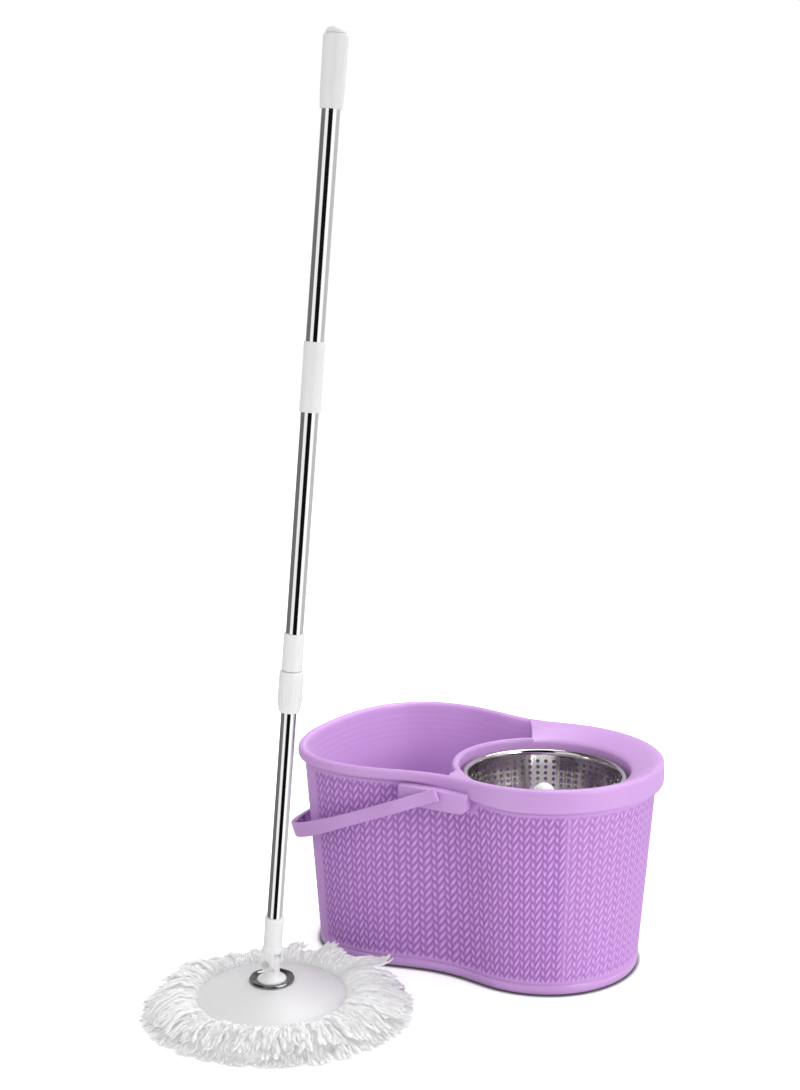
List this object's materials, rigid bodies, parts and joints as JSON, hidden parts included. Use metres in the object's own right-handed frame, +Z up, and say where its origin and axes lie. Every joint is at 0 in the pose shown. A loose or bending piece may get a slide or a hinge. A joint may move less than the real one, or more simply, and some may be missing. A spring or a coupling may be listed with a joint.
{
  "type": "spin mop set",
  "caption": "Figure-eight mop bucket with a perforated spin basket and swinging bail, and a round microfibre mop with a push-to-spin telescopic handle.",
  "frame": {"origin": "on the floor, on the bucket's flat underside between its two lobes", "axes": "+X from the wash lobe to the spinner lobe, +Z up, -Y towards the mop"},
  "size_m": [0.499, 0.609, 1.0655],
  "materials": {
    "lilac_plastic": "satin polypropylene with a raised knit texture on the walls",
    "white_plastic": "smooth moulded plastic",
    "acetal": "low-friction bearing plastic",
    "dark_plastic": "glass-filled nylon",
    "stainless": "polished perforated sheet",
    "chromed_tube": "polished tube",
    "chrome_trim": "polished pressed ring",
    "steel": "plain steel",
    "microfibre": "looped microfibre yarn"
  },
  "bodies": {
    "bucket": {"bucket_body": "lilac_plastic", "spinner_deck": "lilac_plastic", "spindle_pin": "steel", "thrust_washer": "acetal"},
    "basket": {"spin_basket": "stainless", "basket_hub": "white_plastic", "basket_bush": "acetal", "hub_clamp_plate": "white_plastic", "hub_screws": "steel"},
    "bail": {"bail_handle": "lilac_plastic"},
    "swivel_block": {"swivel_knuckle": "white_plastic", "tilt_pin": "steel", "retaining_washer": "steel", "retaining_screw": "steel"},
    "mop_head": {"mop_plate": "white_plastic", "hub_ring": "chrome_trim", "refill_ring": "white_plastic", "yarn": "microfibre"},
    "lower_shaft": {"yoke": "white_plastic", "lower_tube": "chromed_tube", "ratchet_cup": "acetal", "spiral_nut": "dark_plastic", "clutch_spring": "steel", "nut_cap": "acetal"},
    "slide_bush": {"guide_bush": "acetal"},
    "upper_handle": {"lock_collar": "white_plastic", "middle_tube": "chromed_tube", "spiral_rod": "steel", "rod_plug": "acetal", "coupling_plug": "acetal", "coupling_sleeve": "white_plastic", "coupling_socket": "acetal", "upper_tube": "chromed_tube", "grip": "white_plastic", "grip_cap": "white_plastic"},
    "lock_ring_body": {"lock_ring": "white_plastic"}
  },
  "joints": [
    {"name": "basket_spin", "type": "hinge", "parent": "bucket", "child": "basket", "pos_m": [0.078, 0, 0.142], "axis": [0, 0, 1], "continuous": true},
    {"name": "bail_swing", "type": "hinge", "parent": "bucket", "child": "bail", "pos_m": [0.003, 0, 0.234], "axis": [0, 1, 0], "range_deg": [0, 224]},
    {"name": "mop_lift", "type": "slide", "parent": "bucket", "child": "swivel_block", "axis": [0, -0.6, 0.8], "range_m": [0, 0.25]},
    {"name": "disc_spin", "type": "hinge", "parent": "swivel_block", "child": "mop_head", "pos_m": [-0.127, -0.291, 0.03], "axis": [0, 0, 1], "continuous": true},
    {"name": "handle_tilt", "type": "hinge", "parent": "swivel_block", "child": "lower_shaft", "pos_m": [-0.127, -0.291, 0.058], "axis": [0, 1, 0], "range_deg": [-90, 79]},
    {"name": "push_stroke", "type": "slide", "parent": "lower_shaft", "child": "slide_bush", "axis": [-0.0941, 0, -0.9956], "range_m": [0, 0.16]},
    {"name": "drive_spin", "type": "hinge", "parent": "slide_bush", "child": "upper_handle", "pos_m": [-0.127, -0.291, 0.058], "axis": [0.0941, 0, 0.9956], "range_deg": [0, 721]},
    {"name": "lock_turn", "type": "hinge", "parent": "upper_handle", "child": "lock_ring_body", "pos_m": [-0.127, -0.291, 0.058], "axis": [0.0941, 0, 0.9956], "range_deg": [0, 60]}
  ],
  "couplings": [
    {"joint": "drive_spin", "follows": "push_stroke", "rad_per_m": 78.54}
  ]
}
